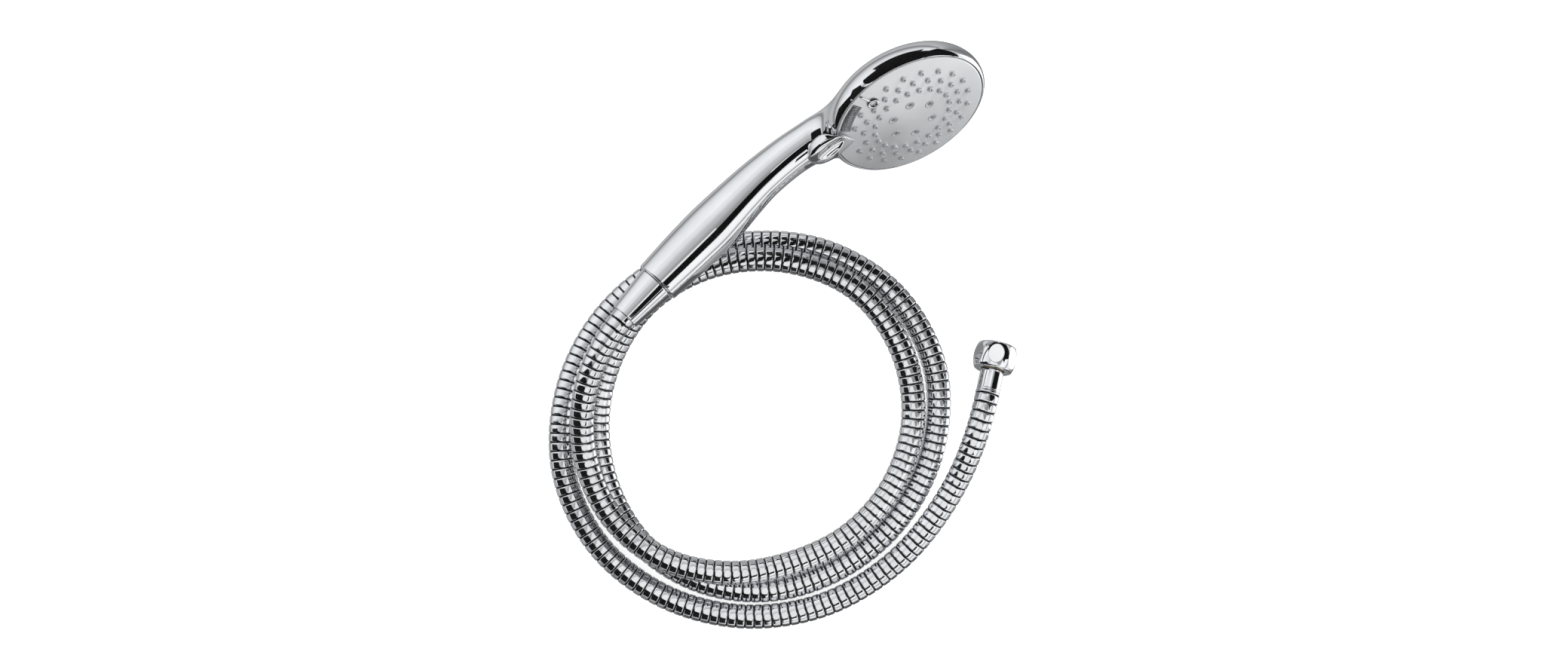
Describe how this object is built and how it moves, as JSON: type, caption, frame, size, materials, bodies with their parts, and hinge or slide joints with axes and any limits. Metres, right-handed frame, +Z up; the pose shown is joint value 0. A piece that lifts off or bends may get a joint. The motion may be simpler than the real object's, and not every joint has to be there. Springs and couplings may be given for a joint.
{
  "type": "handheld shower head",
  "caption": "Chromed handheld shower head with a turning spray face and thumb lever, on a coiled metal hose with a hexagon supply nut.",
  "frame": {"origin": "floor level, under the middle of the handset's box as it lies (the hose and its end fittings not counted)", "axes": "+X from the handle's lower end towards the head, seen from above; +Z up from the surface the part lies on"},
  "size_m": [0.3565, 0.2309, 0.0838],
  "materials": {
    "chrome_plating": "chromed plastic, mirror bright",
    "satin_face": "silver lacquer, satin",
    "chrome_metal": "chromed brass, mirror bright",
    "white_plastic": "moulded, matte",
    "grey_silicone": "soft silicone, matte",
    "black_rubber": "matte",
    "steel_screw": "bright stainless steel",
    "brass_fitting": "turned brass",
    "hose_strip": "chromed interlocked metal strip, mirror bright"
  },
  "bodies": {
    "handset": {"body_shell": "chrome_plating", "end_collar": "chrome_metal", "inlet_nipple": "white_plastic", "inlet_seal": "black_rubber", "flow_restrictor": "white_plastic", "waterway_tube": "white_plastic", "plenum_cover": "white_plastic", "head_chamber": "white_plastic", "chamber_seal": "black_rubber", "chamber_screws": "steel_screw", "port_seals": "black_rubber", "detent_spring": "steel_screw", "pivot_screw": "steel_screw", "inlet_washer": "black_rubber", "filter_screen": "steel_screw", "hose_stem": "brass_fitting", "hose_tube": "hose_strip", "hose_ferrule": "chrome_metal", "tail_stem": "brass_fitting", "tail_washer": "black_rubber"},
    "selector": {"pivot_washer": "steel_screw", "diverter_rotor": "white_plastic", "nozzle_mat": "grey_silicone", "jet_insert": "grey_silicone", "face_plate": "satin_face", "selector_lever": "chrome_plating", "grip_comb": "satin_face", "mode_pointer": "chrome_plating"},
    "ball": {"detent_ball": "steel_screw"},
    "handset_nut": {"cone_nut": "chrome_metal"},
    "supply_nut": {"hex_nut": "chrome_metal"}
  },
  "joints": [
    {"name": "selector_turn", "type": "hinge", "parent": "handset", "child": "selector", "pos_m": [0.06473, -0.01207, 0.04486], "axis": [-0.2466, -0.7931, 0.557], "range_deg": [0, 40]},
    {"name": "ball_click", "type": "slide", "parent": "handset", "child": "ball", "axis": [0.2466, 0.7931, -0.557], "range_m": [0, 0.0006], "stiffness_N_per_m": 400},
    {"name": "handset_nut_spin", "type": "hinge", "parent": "handset", "child": "handset_nut", "pos_m": [-0.11741, 0.0265, 0.04024], "axis": [-0.9934, 0, 0.1149], "continuous": true},
    {"name": "supply_nut_spin", "type": "hinge", "parent": "handset", "child": "supply_nut", "pos_m": [-0.0028, -0.1432, 0.0128], "axis": [0.828, 0.4975, -0.2588], "continuous": true}
  ]
}
